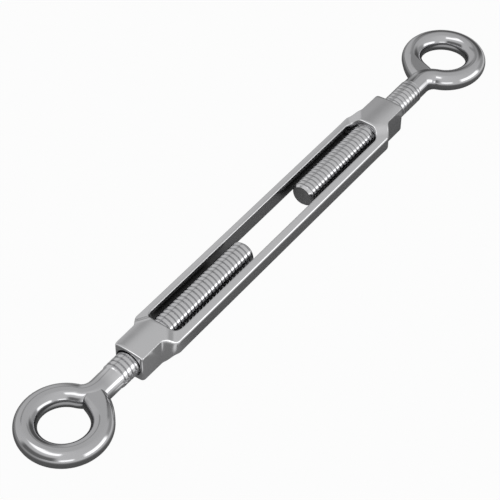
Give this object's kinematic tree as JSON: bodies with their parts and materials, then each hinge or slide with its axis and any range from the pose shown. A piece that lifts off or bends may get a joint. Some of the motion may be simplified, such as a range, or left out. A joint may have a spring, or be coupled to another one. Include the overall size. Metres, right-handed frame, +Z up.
{
  "type": "shroud adjuster",
  "caption": "Open-body rigging screw: a long forged frame with a bored boss at each end, and a threaded bolt with a bent closed eye in each boss.",
  "frame": {"origin": "middle of the frame, on the screw's axis", "axes": "+X along the screw from the right-hand bolt to the left-hand bolt, +Y across the frame from rail to rail, +Z up through the slot"},
  "size_m": [0.1756, 0.022, 0.008],
  "materials": {
    "frame_steel": "satin polished stainless steel",
    "bolt_steel": "bright polished stainless steel"
  },
  "bodies": {
    "frame": {"frame": "frame_steel"},
    "right_hand_eye_bolt": {"right_hand_eye_bolt": "bolt_steel"},
    "left_hand_eye_bolt": {"left_hand_eye_bolt": "bolt_steel"}
  },
  "joints": [
    {"name": "right_hand_screw", "type": "slide", "parent": "frame", "child": "right_hand_eye_bolt", "axis": [-1, 0, 0], "range_m": [-0.0043, 0.028]},
    {"name": "left_hand_screw", "type": "slide", "parent": "frame", "child": "left_hand_eye_bolt", "axis": [1, 0, 0], "range_m": [-0.0043, 0.028]}
  ],
  "couplings": [
    {"joint": "left_hand_screw", "follows": "right_hand_screw", "ratio": 1}
  ]
}
